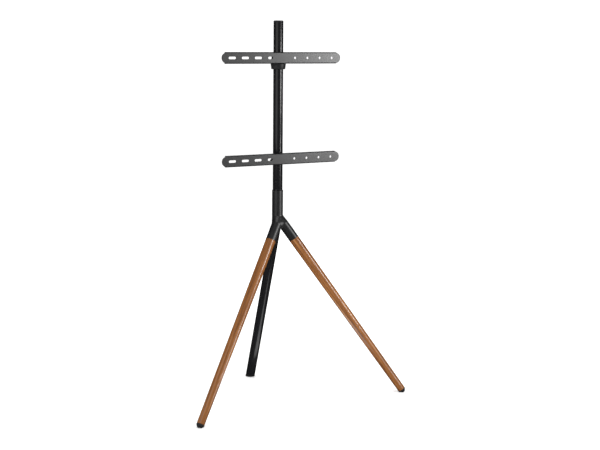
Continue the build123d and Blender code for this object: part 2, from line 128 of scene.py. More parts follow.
def stand_at(piece: bpy.types.Object, place: Matrix) -> None:
    """Move a piece modelled upright at the origin to its place, in its mesh."""
    piece.matrix_world = place
    fix_place(piece)


def add_ring(radius: float, height: float, sides: int, fill: str) -> bpy.types.Object:
    """Add a level ring.

    Args:
        radius: the ring's radius.
        height: its height on Z.
        sides: how many edges it has.
        fill: Blender's name for how it is filled.

    Returns:
        The new object.
    """
    clear_bench()
    bpy.ops.mesh.primitive_circle_add(
        vertices=sides, radius=radius, fill_type=fill, location=(0, 0, height)
    )
    ring = bpy.context.object
    fix_place(ring)
    return ring


def turn(name: str, stations: Sequence[Station], sides: int = SIDES) -> bpy.types.Object:
    """Turn a solid about Z from rings, as on a lathe.

    Args:
        name: the piece's name.
        stations: (height, radius) of each ring, upwards.
        sides: how many edges each ring has.

    Returns:
        The closed solid, upright at the origin.
    """
    start_height, start_radius = stations[0]
    piece = add_ring(start_radius, start_height, sides, "NGON")
    piece.name = name
    bpy.ops.object.mode_set(mode="EDIT")
    bpy.ops.mesh.select_all(action="SELECT")
    for (low, inner), (high, outer) in pairwise(stations):
        bpy.ops.mesh.extrude_region_move(TRANSFORM_OT_translate={"value": (0, 0, high - low)})
        scale = outer / inner
        bpy.ops.transform.resize(value=(scale, scale, 1), center_override=(0, 0, high))
    bpy.ops.mesh.select_all(action="SELECT")
    bpy.ops.mesh.normals_make_consistent(inside=False)
    bpy.ops.object.mode_set(mode="OBJECT")
    return piece


def use_modifier(piece: bpy.types.Object, kind: str, **settings: object) -> None:
    """Add a modifier, set it and apply it.

    Args:
        piece: the object to change.
        kind: Blender's name for the modifier.
        settings: the modifier's own settings.
    """
    take_up(piece)
    modifier = piece.modifiers.new(kind.lower(), kind)
    for key, value in settings.items():
        setattr(modifier, key, value)
    bpy.ops.object.modifier_apply(modifier=modifier.name)


def soften(piece: bpy.types.Object, width: float, segments: int = 2, angle: float = 35) -> None:
    """Round every edge that is sharper than an angle.

    Args:
        piece: the object to change.
        width: how wide the rounding is.
        segments: how many faces it has.
        angle: the smallest angle that counts as sharp, in degrees.
    """
    use_modifier(
        piece,
        "BEVEL",
        width=width,
        segments=segments,
        limit_method="ANGLE",
        angle_limit=math.radians(angle),
    )


def cut_away(piece: bpy.types.Object, cutter: bpy.types.Object) -> None:
    """Take a cutter's volume out of a piece and throw the cutter away."""
    use_modifier(piece, "BOOLEAN", operation="DIFFERENCE", solver="EXACT", object=cutter)
    bpy.data.objects.remove(cutter)


def grow_by(piece: bpy.types.Object, addition: bpy.types.Object) -> None:
    """Join an addition's volume to a piece as one closed solid."""
    use_modifier(piece, "BOOLEAN", operation="UNION", solver="EXACT", object=addition)
    bpy.data.objects.remove(addition)


def drill(piece: bpy.types.Object, place: Matrix, radius: float, depth: float) -> None:
    """Drill a round hole from a plane.

    Args:
        piece: the object to drill.
        place: the hole's mouth, with Z running into the material.
        radius: the hole's radius.
        depth: how deep it goes.
    """
    bit = turn("bit", [(-OVERSHOOT, radius), (depth, radius)], sides=BORE_SIDES)
    stand_at(bit, place)
    cut_away(piece, bit)


def pick(piece: bpy.types.Object, element: Element, wanted: Callable[..., bool]) -> None:
    """Select edges or faces by a rule and leave the piece in edit mode.

    Args:
        piece: the object to open.
        element: what is picked.
        wanted: says whether an edge or face is selected.
    """
    take_up(piece)
    bpy.ops.object.mode_set(mode="EDIT")
    bpy.ops.mesh.select_all(action="DESELECT")
    modes = (False, element is Element.EDGES, element is Element.FACES)
    bpy.context.tool_settings.mesh_select_mode = modes
    mesh = bmesh.from_edit_mesh(piece.data)
    for item in getattr(mesh, element.value):
        item.select_set(wanted(item))
    bmesh.update_edit_mesh(piece.data)


def middle(edge: bmesh.types.BMEdge) -> Vector:
    """The middle of an edge."""
    return (edge.verts[0].co + edge.verts[1].co) / 2


def trim(piece: bpy.types.Object, point: Vector, outward: Vector) -> None:
    """Saw a piece off flat at a plane and close the cut.

    Args:
        piece: the object to saw.
        point: a point on the plane.
        outward: the side that is thrown away.
    """
    take_up(piece)
    bpy.ops.object.mode_set(mode="EDIT")
    bpy.ops.mesh.select_all(action="SELECT")
    bpy.ops.mesh.bisect(plane_co=point, plane_no=outward, use_fill=True, clear_outer=True)
    bpy.ops.object.mode_set(mode="OBJECT")


def wear_flat(piece: bpy.types.Object) -> None:
    """Saw a foot off flat at the floor."""
    trim(piece, Vector((0, 0, 0)), Vector((0, 0, -1)))


def pipe(low: float, high: float, radius: float, wall: float) -> bpy.types.Object:
    """Turn an upright pipe and ease its rims.

    Args:
        low: the height of its lower end.
        high: the height of its upper end.
        radius: its outer radius.
        wall: its wall.

    Returns:
        The closed pipe.
    """
    tube = turn("tube", [(low, radius), (high, radius)], sides=FINE_SIDES)
    inner = radius - wall
    cut_away(tube, turn("hollow", [(low - OVERSHOOT, inner), (high + OVERSHOOT, inner)]))
    soften(tube, 0.0004)
    return tube


def rounded(top: float, radius: float, steps: Iterable[Station]) -> list[Station]:
    """The rings of a rounded end, from steps below its top and inside its radius."""
    return [(top - down, radius - inward) for down, inward in steps]


def finish_piece(
    piece: bpy.types.Object,
    name: str,
    material: bpy.types.Material,
    body: str,
    nodes: Iterable[str],
    smooth_angle: float = 32,
) -> None:
    """Shade a piece, dress it and hang it on its body in place of its frame nodes.

    Args:
        piece: the finished mesh.
        name: its name in the scene.
        material: the finish that it wears.
        body: the frame body that it moves with.
        nodes: the frame nodes that it stands for.
        smooth_angle: the largest angle shaded as one surface, in degrees.
    """
    take_up(piece)
    piece.name = name
    bpy.ops.object.shade_smooth_by_angle(angle=math.radians(smooth_angle))
    piece.data.materials.clear()
    piece.data.materials.append(material)
    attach(piece, body)
    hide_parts(*nodes)
    log.info("%s: %d faces", name, len(piece.data.polygons))


def axis_place(base: Vector, along: Vector) -> Matrix:
    """A place at a point, with its Z running along an axis."""
    turned = along.normalized().to_track_quat("Z", "Y").to_matrix().to_4x4()
    return Matrix.Translation(base) @ turned


# ---- finishes ----


class Recipe:
    """A material's node tree while it is being mixed."""

    def __init__(self, name: str) -> None:
        """Start an empty material.

        Args:
            name: the material's name.
        """
        self.material = bpy.data.materials.new(name)
        self.material.use_nodes = True
        self.nodes = self.material.node_tree.nodes
        self.links = self.material.node_tree.links
        self.shader = self.nodes["Principled BSDF"]

    def coordinates(self, kind: str) -> bpy.types.NodeSocket:
        """One kind of texture coordinates, by the name of its output."""
        return self.nodes.new("ShaderNodeTexCoord").outputs[kind]

    def mapped(
        self, scale: Point, turn_by: Point = (0, 0, 0), shift: Point = (0, 0, 0)
    ) -> bpy.types.NodeSocket:
        """Object coordinates, first turned and then stretched and shifted.

        Args:
            scale: how much to stretch each axis after the turn.
            turn_by: the turn as XYZ angles in radians.
            shift: the offset after the stretch.

        Returns:
            The coordinates.
        """
        turned = self.nodes.new("ShaderNodeMapping")
        turned.inputs["Rotation"].default_value = turn_by
        self.links.new(self.coordinates("Object"), turned.inputs["Vector"])
        stretched = self.nodes.new("ShaderNodeMapping")
        stretched.inputs["Scale"].default_value = scale
        stretched.inputs["Location"].default_value = shift
        self.links.new(turned.outputs["Vector"], stretched.inputs["Vector"])
        return stretched.outputs["Vector"]

    def noise(
        self,
        vector: bpy.types.NodeSocket,
        scale: float,
        detail: float,
        roughness: float = 0.5,
        warp: float = 0,
    ) -> bpy.types.NodeSocket:
        """A noise pattern.

        Args:
            vector: the coordinates that it reads.
            scale: how fine it is.
            detail: how many finer layers it has.
            roughness: how strong the finer layers are.
            warp: how much it is distorted.

        Returns:
            The pattern's value socket.
        """
        node = self.nodes.new("ShaderNodeTexNoise")
        node.inputs["Scale"].default_value = scale
        node.inputs["Detail"].default_value = detail
        node.inputs["Roughness"].default_value = roughness
        node.inputs["Distortion"].default_value = warp
        self.links.new(vector, node.inputs["Vector"])
        return node.outputs["Fac"]

    def ramp(
        self, value: bpy.types.NodeSocket, stops: Sequence[tuple[float, Colour]]
    ) -> bpy.types.NodeSocket:
        """Turn a value into colours.

        Args:
            value: the value that is read.
            stops: (position, colour) of each stop.

        Returns:
            The colour socket.
        """
        node = self.nodes.new("ShaderNodeValToRGB")
        elements = node.color_ramp.elements
        while len(elements) < len(stops):
            elements.new(0.5)
        for element, (position, colour) in zip(elements, stops):
            element.position = position
            element.color = (*colour, 1)
        self.links.new(value, node.inputs["Fac"])
        return node.outputs["Color"]

    def spread(self, value: bpy.types.NodeSocket, low: float, high: float) -> bpy.types.NodeSocket:
        """Spread a 0 to 1 value over a range.

        Args:
            value: the value that is read.
            low: what 0 becomes.
            high: what 1 becomes.

        Returns:
            The value socket.
        """
        node = self.nodes.new("ShaderNodeMapRange")
        node.inputs["To Min"].default_value = low
        node.inputs["To Max"].default_value = high
        self.links.new(value, node.inputs["Value"])
        return node.outputs["Result"]

    def multiply(
        self, share: float, first: bpy.types.NodeSocket, second: bpy.types.NodeSocket
    ) -> bpy.types.NodeSocket:
        """Darken one colour by another.

        Args:
            share: how strongly the second colour tells.
            first: the first colour.
            second: the second colour.

        Returns:
            The colour socket.
        """
        node = self.nodes.new("ShaderNodeMix")
        node.data_type = "RGBA"
        node.blend_type = "MULTIPLY"
        node.inputs["Factor"].default_value = share
        self.links.new(first, node.inputs["A"])
        self.links.new(second, node.inputs["B"])
        return node.outputs["Result"]

    def fold_shade_mask(self, folded: float, flat: float) -> bpy.types.NodeSocket:
        """How squarely the surface faces along Y: 1 on a flat front, 0 on folds, the top and cut
        edges; it masks the painted shade on a coat's folds.

        Args:
            folded: the share of the normal on Y up to which the surface counts as a fold.
            flat: the share from which it counts as a flat front.

        Returns:
            The value.
        """
        split = self.nodes.new("ShaderNodeSeparateXYZ")
        self.links.new(self.coordinates("Normal"), split.inputs["Vector"])
        size = self.nodes.new("ShaderNodeMath")
        size.operation = "ABSOLUTE"
        self.links.new(split.outputs["Y"], size.inputs[0])
        share = self.nodes.new("ShaderNodeMapRange")
        share.inputs["From Min"].default_value = folded
        share.inputs["From Max"].default_value = flat
        self.links.new(size.outputs["Value"], share.inputs["Value"])
        return share.outputs["Result"]

    def bump(self, height: bpy.types.NodeSocket, distance: float) -> None:
        """Raise the surface by a pattern.

        Args:
            height: the pattern.
            distance: its full height in metres.
        """
        node = self.nodes.new("ShaderNodeBump")
        node.inputs["Strength"].default_value = 1.0
        node.inputs["Distance"].default_value = distance
        self.links.new(height, node.inputs["Height"])
        self.links.new(node.outputs["Normal"], self.shader.inputs["Normal"])

    def set(self, **values: object) -> None:
        """Set constants on the shader's own sockets; an underscore stands for a space."""
        for key, value in values.items():
            self.shader.inputs[key.replace("_", " ")].default_value = value

    def wire(self, socket: bpy.types.NodeSocket, name: str) -> None:
        """Link a socket to the shader's input of that name."""
        self.links.new(socket, self.shader.inputs[name])


@dataclass(frozen=True)
class PowderCoat:
    """Baked powder coat: one colour with an orange-peel skin and, where fold shade is set, painted
    shade that dims its shine on folds, top and cut edges.
    """

    name: str
    dark: Colour
    light: Colour
    rough_low: float
    rough_high: float
    peel_scale: float
    peel_height: float
    specular: float
    # painted shade on folds: the shine left on folds, top and cut edges, and the shares of the
    # normal on Y over which it fades in from the flat front
    painted_fold_shade_specular: float | None = None
    folded: float = 0.93
    flat: float = 0.995
    cloud_scale: float = 14

    def make(self) -> bpy.types.Material:
        """Mix the coat.

        Returns:
            The material.
        """
        recipe = Recipe(self.name)
        place = recipe.mapped((1, 1, 1))
        cloud = recipe.noise(place, self.cloud_scale, detail=2)
        grain = recipe.noise(place, self.peel_scale, detail=4, roughness=0.65)
        recipe.wire(recipe.ramp(grain, [(0.25, self.dark), (0.75, self.light)]), "Base Color")
        recipe.wire(recipe.spread(cloud, self.rough_low, self.rough_high), "Roughness")
        recipe.bump(grain, self.peel_height)
        recipe.set(Specular_IOR_Level=self.specular, Metallic=0.0)
        # painted shade: the shine falls from the flat front to the folds, top and cut edges,
        # darkening them as rims whatever the light
        if self.painted_fold_shade_specular is not None:
            front = recipe.fold_shade_mask(self.folded, self.flat)
            shine_with_painted_fold_shade = recipe.spread(front, self.painted_fold_shade_specular, self.specular)
            recipe.wire(shine_with_painted_fold_shade, "Specular IOR Level")
        return recipe.material


@dataclass(frozen=True)
class Walnut:
    """Lacquered walnut with its grain along one leg."""

    name: str
    grain_turn: Point
    grain_shift: Point
    deep: Colour = (0.100, 0.030, 0.005)
    warm: Colour = (0.235, 0.083, 0.013)
    pale: Colour = (0.420, 0.180, 0.045)
    clear: Colour = (1.0, 1.0, 1.0)
    strand_shade: Colour = (0.55, 0.48, 0.42)
    pore_shade: Colour = (0.45, 0.38, 0.34)
    strand_share: float = 0.75
    pore_share: float = 0.5
    ring_scale: Point = (150, 150, 2.4)
    ring_warp: float = 1.3
    fibre_scale: Point = (420, 420, 9)
    fibre_height: float = 0.00006
    pore_scale: Point = (900, 900, 45)
    rough_low: float = 0.34
    rough_high: float = 0.50
    specular: float = 0.4
    coat_roughness: float = 0.16

    def make(self) -> bpy.types.Material:
        """Mix the wood.

        Returns:
            The material.
        """
        recipe = Recipe(self.name)
        fibres_at = recipe.mapped(self.fibre_scale, self.grain_turn, self.grain_shift)
        rings_at = recipe.mapped(self.ring_scale, self.grain_turn, self.grain_shift)
        pores_at = recipe.mapped(self.pore_scale, self.grain_turn, self.grain_shift)
        rings = recipe.noise(rings_at, 1.0, detail=4, roughness=0.55, warp=self.ring_warp)
        fibres = recipe.noise(fibres_at, 1.0, detail=5, roughness=0.6)
        pores = recipe.noise(pores_at, 1.0, detail=2)
        tones = [(0.30, self.deep), (0.46, self.warm), (0.56, self.warm), (0.72, self.pale)]
        body = recipe.ramp(rings, tones)
        strand = recipe.ramp(fibres, [(0.30, self.strand_shade), (0.62, self.clear)])
        pore = recipe.ramp(pores, [(0.34, self.pore_shade), (0.42, self.clear)])
        colour = recipe.multiply(self.strand_share, body, strand)
        recipe.wire(recipe.multiply(self.pore_share, colour, pore), "Base Color")
        recipe.wire(recipe.spread(fibres, self.rough_low, self.rough_high), "Roughness")
        recipe.bump(fibres, self.fibre_height)
        recipe.set(Specular_IOR_Level=self.specular, Coat_Weight=1.0)
        recipe.set(Coat_Roughness=self.coat_roughness)
        return recipe.material


@dataclass(frozen=True)
class Moulded:
    """Moulded rubber or plastic with a fine matt skin."""

    name: str
    dark: Colour
    light: Colour
    rough_low: float
    rough_high: float
    wear_scale: float = 35
    skin_scale: float = 900
    skin_height: float = 0.00003
    specular: float = 0.35

    def make(self) -> bpy.types.Material:
        """Mix the plastic.

        Returns:
            The material.
        """
        recipe = Recipe(self.name)
        place = recipe.mapped((1, 1, 1))
        wear = recipe.noise(place, self.wear_scale, detail=4)
        skin = recipe.noise(place, self.skin_scale, detail=2)
        recipe.wire(recipe.ramp(wear, [(0.3, self.dark), (0.7, self.light)]), "Base Color")
        recipe.wire(recipe.spread(wear, self.rough_low, self.rough_high), "Roughness")
        recipe.bump(skin, self.skin_height)
        recipe.set(Specular_IOR_Level=self.specular)
        return recipe.material


@dataclass(frozen=True)
class BareSteel:
    """Plated or blackened steel with fine turning marks."""

    name: str
    dark: Colour
    light: Colour
    roughness: float
    smoother: float = 0.06
    rougher: float = 0.10
    mark_scale: float = 260
    mark_height: float = 0.00002

    def make(self) -> bpy.types.Material:
        """Mix the metal.

        Returns:
            The material.
        """
        recipe = Recipe(self.name)
        place = recipe.mapped((1, 1, 1))
        marks = recipe.noise(place, self.mark_scale, detail=5, roughness=0.7)
        recipe.wire(recipe.ramp(marks, [(0.3, self.dark), (0.7, self.light)]), "Base Color")
        low, high = self.roughness - self.smoother, self.roughness + self.rougher
        recipe.wire(recipe.spread(marks, low, high), "Roughness")
        recipe.bump(marks, self.mark_height)
        recipe.set(Metallic=1.0)
        return recipe.material


SLOT_FINISHES = {
    "black_powder_coat": PowderCoat(
        name="black_powder_coat", dark=(0.006, 0.006, 0.007), light=(0.010, 0.010, 0.011),
        rough_low=0.20, rough_high=0.25, peel_scale=700, peel_height=0.00001, specular=0.6,
    ),
    "bar_powder_coat": PowderCoat(
        name="bar_powder_coat", dark=(0.003, 0.003, 0.0035), light=(0.016, 0.016, 0.017),
        rough_low=0.34, rough_high=0.38, peel_scale=620, peel_height=0.00008, specular=0.9,
        # painted shade: the bar's folds, top and cut edges keep almost no shine, so they read as
        # dark rims
        painted_fold_shade_specular=0.03,
    ),
    "hub_casting": PowderCoat(
        name="hub_casting_coat", dark=(0.006, 0.006, 0.007), light=(0.012, 0.012, 0.013),
        rough_low=0.38, rough_high=0.44, peel_scale=520, peel_height=0.00003, specular=0.8,
    ),
    "black_rubber": Moulded(
        name="black_rubber", dark=(0.008, 0.008, 0.008), light=(0.016, 0.016, 0.016),
        rough_low=0.62, rough_high=0.78,
    ),
    "black_plastic": Moulded(
        name="black_plastic", dark=(0.010, 0.010, 0.011), light=(0.018, 0.018, 0.019),
        rough_low=0.38, rough_high=0.50,
    ),
    "nylon": Moulded(
        name="nylon", dark=(0.022, 0.022, 0.024), light=(0.034, 0.034, 0.036), rough_low=0.42,
        rough_high=0.52,
    ),
    "black_screw": BareSteel(
        name="black_oxide", dark=(0.030, 0.030, 0.032), light=(0.050, 0.050, 0.053),
        roughness=0.34,
    ),
    "zinc_steel": BareSteel(
        name="zinc_plate", dark=(0.46, 0.47, 0.49), light=(0.60, 0.61, 0.63), roughness=0.30,
    ),
}


class Finishes:
    """The finish of every material slot, mixed once; each wooden leg mixes its own."""

    def __init__(self) -> None:
        """Mix the finishes."""
        self.by_slot = {slot: finish.make() for slot, finish in SLOT_FINISHES.items()}

    def dress(
        self,
        piece: bpy.types.Object,
        name: str,
        slot: str,
        body: str,
        nodes: Iterable[str],
        smooth_angle: float = 32,
    ) -> None:
        """Finish a piece in its slot's own finish, as finish_piece describes."""
        finish_piece(piece, name, self.by_slot[slot], body, nodes, smooth_angle)


# ---- legs and hub ----


@dataclass
class LegAxis:
    """The line that a leg runs along, from the hub's centre down to the floor."""

    apex: Vector
    foot: Vector

    @property
    def down(self) -> Vector:
        """The direction towards the floor."""
        return (self.foot - self.apex).normalized()

    @property
    def length(self) -> float:
        """The distance from apex to floor."""
        return (self.foot - self.apex).length

    @property
    def across(self) -> Vector:
        """The level direction square to the leg."""
        return Vector((0, 0, 1)).cross(self.down).normalized()

    def at(self, distance: float) -> Matrix:
        """The place on the axis at a distance from the apex, its Z running down the leg."""
        return axis_place(self.apex + self.down * distance, self.down)

    def rising(self) -> Matrix:
        """The place at the foot, its Z running up the leg."""
        return axis_place(self.foot, -self.down)


FRONT_APEX = Vector((0, -0.0136, 0.651))
FRONT_FOOT = Vector((0.413, -0.2235, 0))
REAR_APEX = Vector((0, 0, 0.643))
REAR_FOOT = Vector((0, 0.216, 0))


def front_axis(side: Side) -> LegAxis:
    """The axis of a front leg."""
    return LegAxis(FRONT_APEX, Vector((side.value * FRONT_FOOT.x, FRONT_FOOT.y, 0)))


def rear_axis() -> LegAxis:
    """The axis of the rear leg."""
    return LegAxis(REAR_APEX, REAR_FOOT)


@dataclass
class WoodLeg:
    """A tapered wooden front leg with its rubber tip."""

    side: Side
    finishes: Finishes
    arm: float = 0.091
    top_radius: float = 0.0185
    end_radius: float = 0.0138
    foot_length: float = 0.013
    tip_radius: float = 0.0088
    insert_radius: float = 0.00805
    insert_depth: float = 0.032
    screw_radius: float = 0.002
    screw_depth: float = 0.026
    end_rounding: float = 0.0007
    recess_radius: float = 0.0044
    recess_floor: float = 0.005
    foot_bore: float = 0.0021
    tip_rounding: float = 0.0012
    tip_rise: float = 0.0009
    shoulder: tuple[Station, ...] = ((0.0055, 0.0006), (0.0045, 0), (0.0012, 0))
    groove: tuple[Station, ...] = ((0.0009, 0.0007), (0.0002, 0.0007), (0, 0.0004))
    rings: int = 10
    axis: LegAxis = field(init=False)

    def __post_init__(self) -> None:
        """Find the leg's axis."""
        self.axis = front_axis(self.side)

    def build(self) -> None:
        """Build the wood and the foot."""
        self.build_wood()
        self.build_foot()

    def build_wood(self) -> None:
        """Turn the tapered shaft, ease its ends and bore it for the insert and the foot's screw."""
        low = self.foot_length
        high = self.axis.length - self.arm
        stations = []
        for index in range(self.rings + 1):
            share = index / self.rings
            radius = self.end_radius + (self.top_radius - self.end_radius) * share
            stations.append((low + (high - low) * share, radius))
        wood = turn("wood", stations, sides=FINE_SIDES)
        soften(wood, self.end_rounding, segments=3)
        stand_at(wood, self.axis.rising())
        drill(wood, self.axis.at(self.arm), self.insert_radius, self.insert_depth)
        bottom = axis_place(self.axis.foot - self.axis.down * low, -self.axis.down)
        drill(wood, bottom, self.screw_radius, self.screw_depth)
        grain = Walnut(
            f"walnut_{self.side.word}",
            tuple(self.axis.rising().to_3x3().inverted().to_euler()),
            (3.7 * self.side.value, 1.9, 0.6 * self.side.value),
        )
        name = f"{self.side.word}_leg_shaft"
        nodes = [f"{self.side.word}_leg_wood"]
        finish_piece(wood, name, grain.make(), "base", nodes)

    def build_foot(self) -> None:
        """Turn the rubber tip with a groove under the wood, and wear it flat on the floor."""
        seat = self.foot_length
        stations = [
            (0, self.tip_radius - self.tip_rounding),
            (self.tip_rise, self.tip_radius),
            *rounded(seat, self.end_radius, self.shoulder + self.groove),
        ]
        foot = turn("foot", stations)
        stand_at(foot, self.axis.rising())
        recess = axis_place(self.axis.foot, -self.axis.down)
        drill(foot, recess, self.recess_radius, seat - self.recess_floor)
        drill(foot, recess, self.foot_bore, seat + 2 * OVERSHOOT)
        wear_flat(foot)
        name = f"{self.side.word}_foot_tip"
        nodes = [f"{self.side.word}_foot"]
        self.finishes.dress(foot, name, "black_rubber", "base", nodes)


@dataclass
class RearLeg:
    """The straight black rear tube with its rubber foot."""

    finishes: Finishes
    arm: float = 0.085
    radius: float = 0.0175
    wall: float = 0.0015
    foot_length: float = 0.013
    foot_stock: float = 0.024
    plug_length: float = 0.024
    plug_rounding: float = 0.0006
    rim_rounding: float = 0.0005
    rim_rise: float = 0.0006
    sole_rounding: float = 0.0008

    def build(self) -> None:
        """Build the tube and the foot."""
        axis = rear_axis()
        tube_length = axis.length - self.arm - self.foot_length
        tube = pipe(0, tube_length, self.radius, self.wall)
        stand_at(tube, axis.at(self.arm))
        self.finishes.dress(tube, "rear_leg_pipe", "black_powder_coat", "base", ["rear_leg_tube"])

        plug = self.radius - self.wall - FIT_GAP
        stations = [
            (-self.plug_length, plug - self.plug_rounding),
            (self.plug_rounding - self.plug_length, plug),
            (0.0, plug),
            (LEDGE, self.radius - self.rim_rounding),
            (self.rim_rise, self.radius),
            (self.foot_stock, self.radius),
        ]
        foot = turn("foot", stations)
        stand_at(foot, axis.at(axis.length - self.foot_length))
        wear_flat(foot)
        pick(foot, Element.EDGES, lambda edge: max(abs(v.co.z) for v in edge.verts) < NEAR)
        bpy.ops.mesh.bevel(offset=self.sole_rounding, segments=2)
        bpy.ops.object.mode_set(mode="OBJECT")
        self.finishes.dress(foot, "rear_foot_cap", "black_rubber", "base", ["rear_foot"])


@dataclass
class CastHub:
    """The one-piece casting: a sleeve that flows into three leg arms."""

    finishes: Finishes
    sleeve_radius: float = 0.0197
    top: float = 0.7513
    sleeve_end: float = 0.650
    root_height: float = 0.660
    root_radius: float = 0.0194
    blend: float = 0.024
    front_arm: float = 0.091
    front_radius: float = 0.0185
    rear_arm: float = 0.085
    rear_radius: float = 0.0175
    spare: float = 0.006
    grain: float = 0.0011
    skin_passes: int = 6
    saw_size: float = 0.03
    web_passes: int = 36
    web_gain: float = 1.6
    web_reach: float = 0.050
    web_centre: Point = (0.0, -0.006, 0.632)
    bridge_place: Point = (0.0, -0.0200, 0.6305)
    bridge_radius: float = 0.0172
    bridge_half: float = 0.013
    bore_radius: float = 0.0177
    bore_floor: float = 0.668
    rim: float = 0.0014

    def build(self) -> None:
        """Build the casting from a sleeve and three arms, blend them and machine the ends."""
        sleeve = [
            (self.sleeve_end, self.sleeve_radius),
            (self.top + self.spare, self.sleeve_radius),
        ]
        casting = turn("casting", sleeve, sides=FINE_SIDES)
        arms = [
            (front_axis(Side.LEFT), self.front_arm, self.front_radius),
            (front_axis(Side.RIGHT), self.front_arm, self.front_radius),
            (rear_axis(), self.rear_arm, self.rear_radius),
        ]
        for axis, reach, radius in arms:
            grow_by(casting, self.arm(axis, reach + self.spare, radius))
        grow_by(casting, self.bridge())
        use_modifier(casting, "REMESH", mode="VOXEL", voxel_size=self.grain, adaptivity=0.0)
        self.blend_web(casting)
        use_modifier(casting, "SMOOTH", factor=SMOOTH_FACTOR, iterations=self.skin_passes)
        trim(casting, Vector((0, 0, self.top)), Vector((0, 0, 1)))
        for axis, reach, _ in arms:
            self.trim_arm(casting, axis, reach)
        self.machine(casting)
        nodes = ["hub_casting"]
        self.finishes.dress(casting, "hub_body", "hub_casting", "base", nodes, smooth_angle=40)

    def arm(self, axis: LegAxis, reach: float, radius: float) -> bpy.types.Object:
        """Run an arm from a ring at the sleeve's foot to a ring on the leg's axis and to its end.

        Args:
            axis: the leg's axis.
            reach: how far the arm goes from the apex.
            radius: the arm's radius.

        Returns:
            The closed arm.
        """
        root = add_ring(self.root_radius, self.root_height, FINE_SIDES, "NOTHING")
        rings = [root]
        for distance in (self.blend, reach):
            ring = add_ring(radius, 0, FINE_SIDES, "NOTHING")
            origin = axis.apex + axis.down * distance
            stand_at(ring, axis_frame(origin, axis.down, axis.across))
            rings.append(ring)
        stand_at(root, ring_turn(axis))
        clear_bench()
        for ring in rings:
            ring.select_set(True)
        bpy.context.view_layer.objects.active = root
        bpy.ops.object.join()
        bpy.ops.object.mode_set(mode="EDIT")
        bpy.ops.mesh.select_all(action="SELECT")
        bpy.ops.mesh.bridge_edge_loops()
        bpy.ops.mesh.select_all(action="DESELECT")
        bpy.ops.mesh.select_non_manifold(extend=False)
        bpy.ops.mesh.edge_face_add()
        bpy.ops.mesh.select_all(action="SELECT")
        bpy.ops.mesh.normals_make_consistent(inside=False)
        bpy.ops.object.mode_set(mode="OBJECT")
        return root

    def bridge(self) -> bpy.types.Object:
        """Turn the short level bar that fills the fork between the two front arms."""
        ends = [(-self.bridge_half, self.bridge_radius), (self.bridge_half, self.bridge_radius)]
        bridge = turn("bridge", ends)
        level = Matrix.Rotation(math.pi / 2, 4, "Y")
        stand_at(bridge, Matrix.Translation(self.bridge_place) @ level)
        return bridge

    def blend_web(self, casting: bpy.types.Object) -> None:
        """Let the corners between sleeve and arms flow together.

        Args:
            casting: the remeshed casting.
        """
        centre = Vector(self.web_centre)
        web = casting.vertex_groups.new(name="web")
        for vertex in casting.data.vertices:
            share = 1 - (vertex.co - centre).length / self.web_reach
            if share > 0:
                web.add([vertex.index], min(1.0, share * self.web_gain), "REPLACE")
        use_modifier(
            casting,
            "SMOOTH",
            factor=SMOOTH_FACTOR,
            iterations=self.web_passes,
            vertex_group="web",
        )

    def trim_arm(self, casting: bpy.types.Object, axis: LegAxis, reach: float) -> None:
        """Saw an arm off square at its end, without touching the rest of the casting.

        Args:
            casting: the casting.
            axis: the arm's axis.
            reach: where the arm ends.
        """
        saw = turn("saw", [(0, self.saw_size), (self.saw_size, self.saw_size)], sides=24)
        stand_at(saw, axis.at(reach))
        cut_away(casting, saw)

    def machine(self, casting: bpy.types.Object) -> None:
        """Round the sleeve's rim and drill the bore for the pole.

        Args:
            casting: the casting.
        """
        rim_height = self.top - NEAR
        pick(casting, Element.EDGES, lambda edge: min(v.co.z for v in edge.verts) > rim_height)
        bpy.ops.mesh.bevel(offset=self.rim, segments=2)
        bpy.ops.object.mode_set(mode="OBJECT")
        mouth = Matrix.Translation((0, 0, self.top)) @ Matrix.Rotation(math.pi, 4, "X")
        drill(casting, mouth, self.bore_radius, self.top - self.bore_floor)


def axis_frame(origin: Vector, along: Vector, across: Vector) -> Matrix:
    """A place with Z along one direction and X along another.

    Args:
        origin: the place's origin.
        along: the direction of Z.
        across: the direction of X, square to along.

    Returns:
        The place as a matrix.
    """
    third = along.cross(across)
    turned = Matrix((across, third, along)).transposed().to_4x4()
    return Matrix.Translation(origin) @ turned


def ring_turn(axis: LegAxis) -> Matrix:
    """The turn about Z that lines a level ring's first point up with the arm's first point."""
    return Matrix.Rotation(math.atan2(axis.across.y, axis.across.x), 4, "Z")


# ---- pole ----


@dataclass
class Pole:
    """The round pole with its cap."""

    finishes: Finishes
    radius: float = 0.0175
    wall: float = 0.0015
    cap_head: float = 0.006
    plug_rounding: Station = (0.0012, 0.0008)
    rim_rounding: float = 0.0006
    dome: tuple[Station, ...] = (
        (0.0022, 0),
        (0.0010, 0.0006),
        (0.0003, 0.0018),
        (0, 0.0040),
        (0, 0.0060),
    )

    def build(self) -> None:
        """Build the tube and the cap."""
        low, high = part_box("pole_tube")
        tube = pipe(low.z, high.z, self.radius, self.wall)
        self.finishes.dress(tube, "pole_pipe", "black_powder_coat", "pole", ["pole_tube"])

        cap_low, cap_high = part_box("pole_top_cap")
        seat = cap_high.z - self.cap_head
        plug = self.radius - self.wall - FIT_GAP
        lead, inward = self.plug_rounding
        stations = [
            (cap_low.z, plug - inward),
            (cap_low.z + lead, plug),
            (seat, plug),
            (seat + LEDGE, self.radius - self.rim_rounding),
            (seat + self.rim_rounding, self.radius),
            *rounded(cap_high.z, self.radius, self.dome),
        ]
        cap = turn("cap", stations, sides=FINE_SIDES)
        self.finishes.dress(cap, "pole_cap", "black_plastic", "pole", ["pole_top_cap"])


# ---- brackets ----


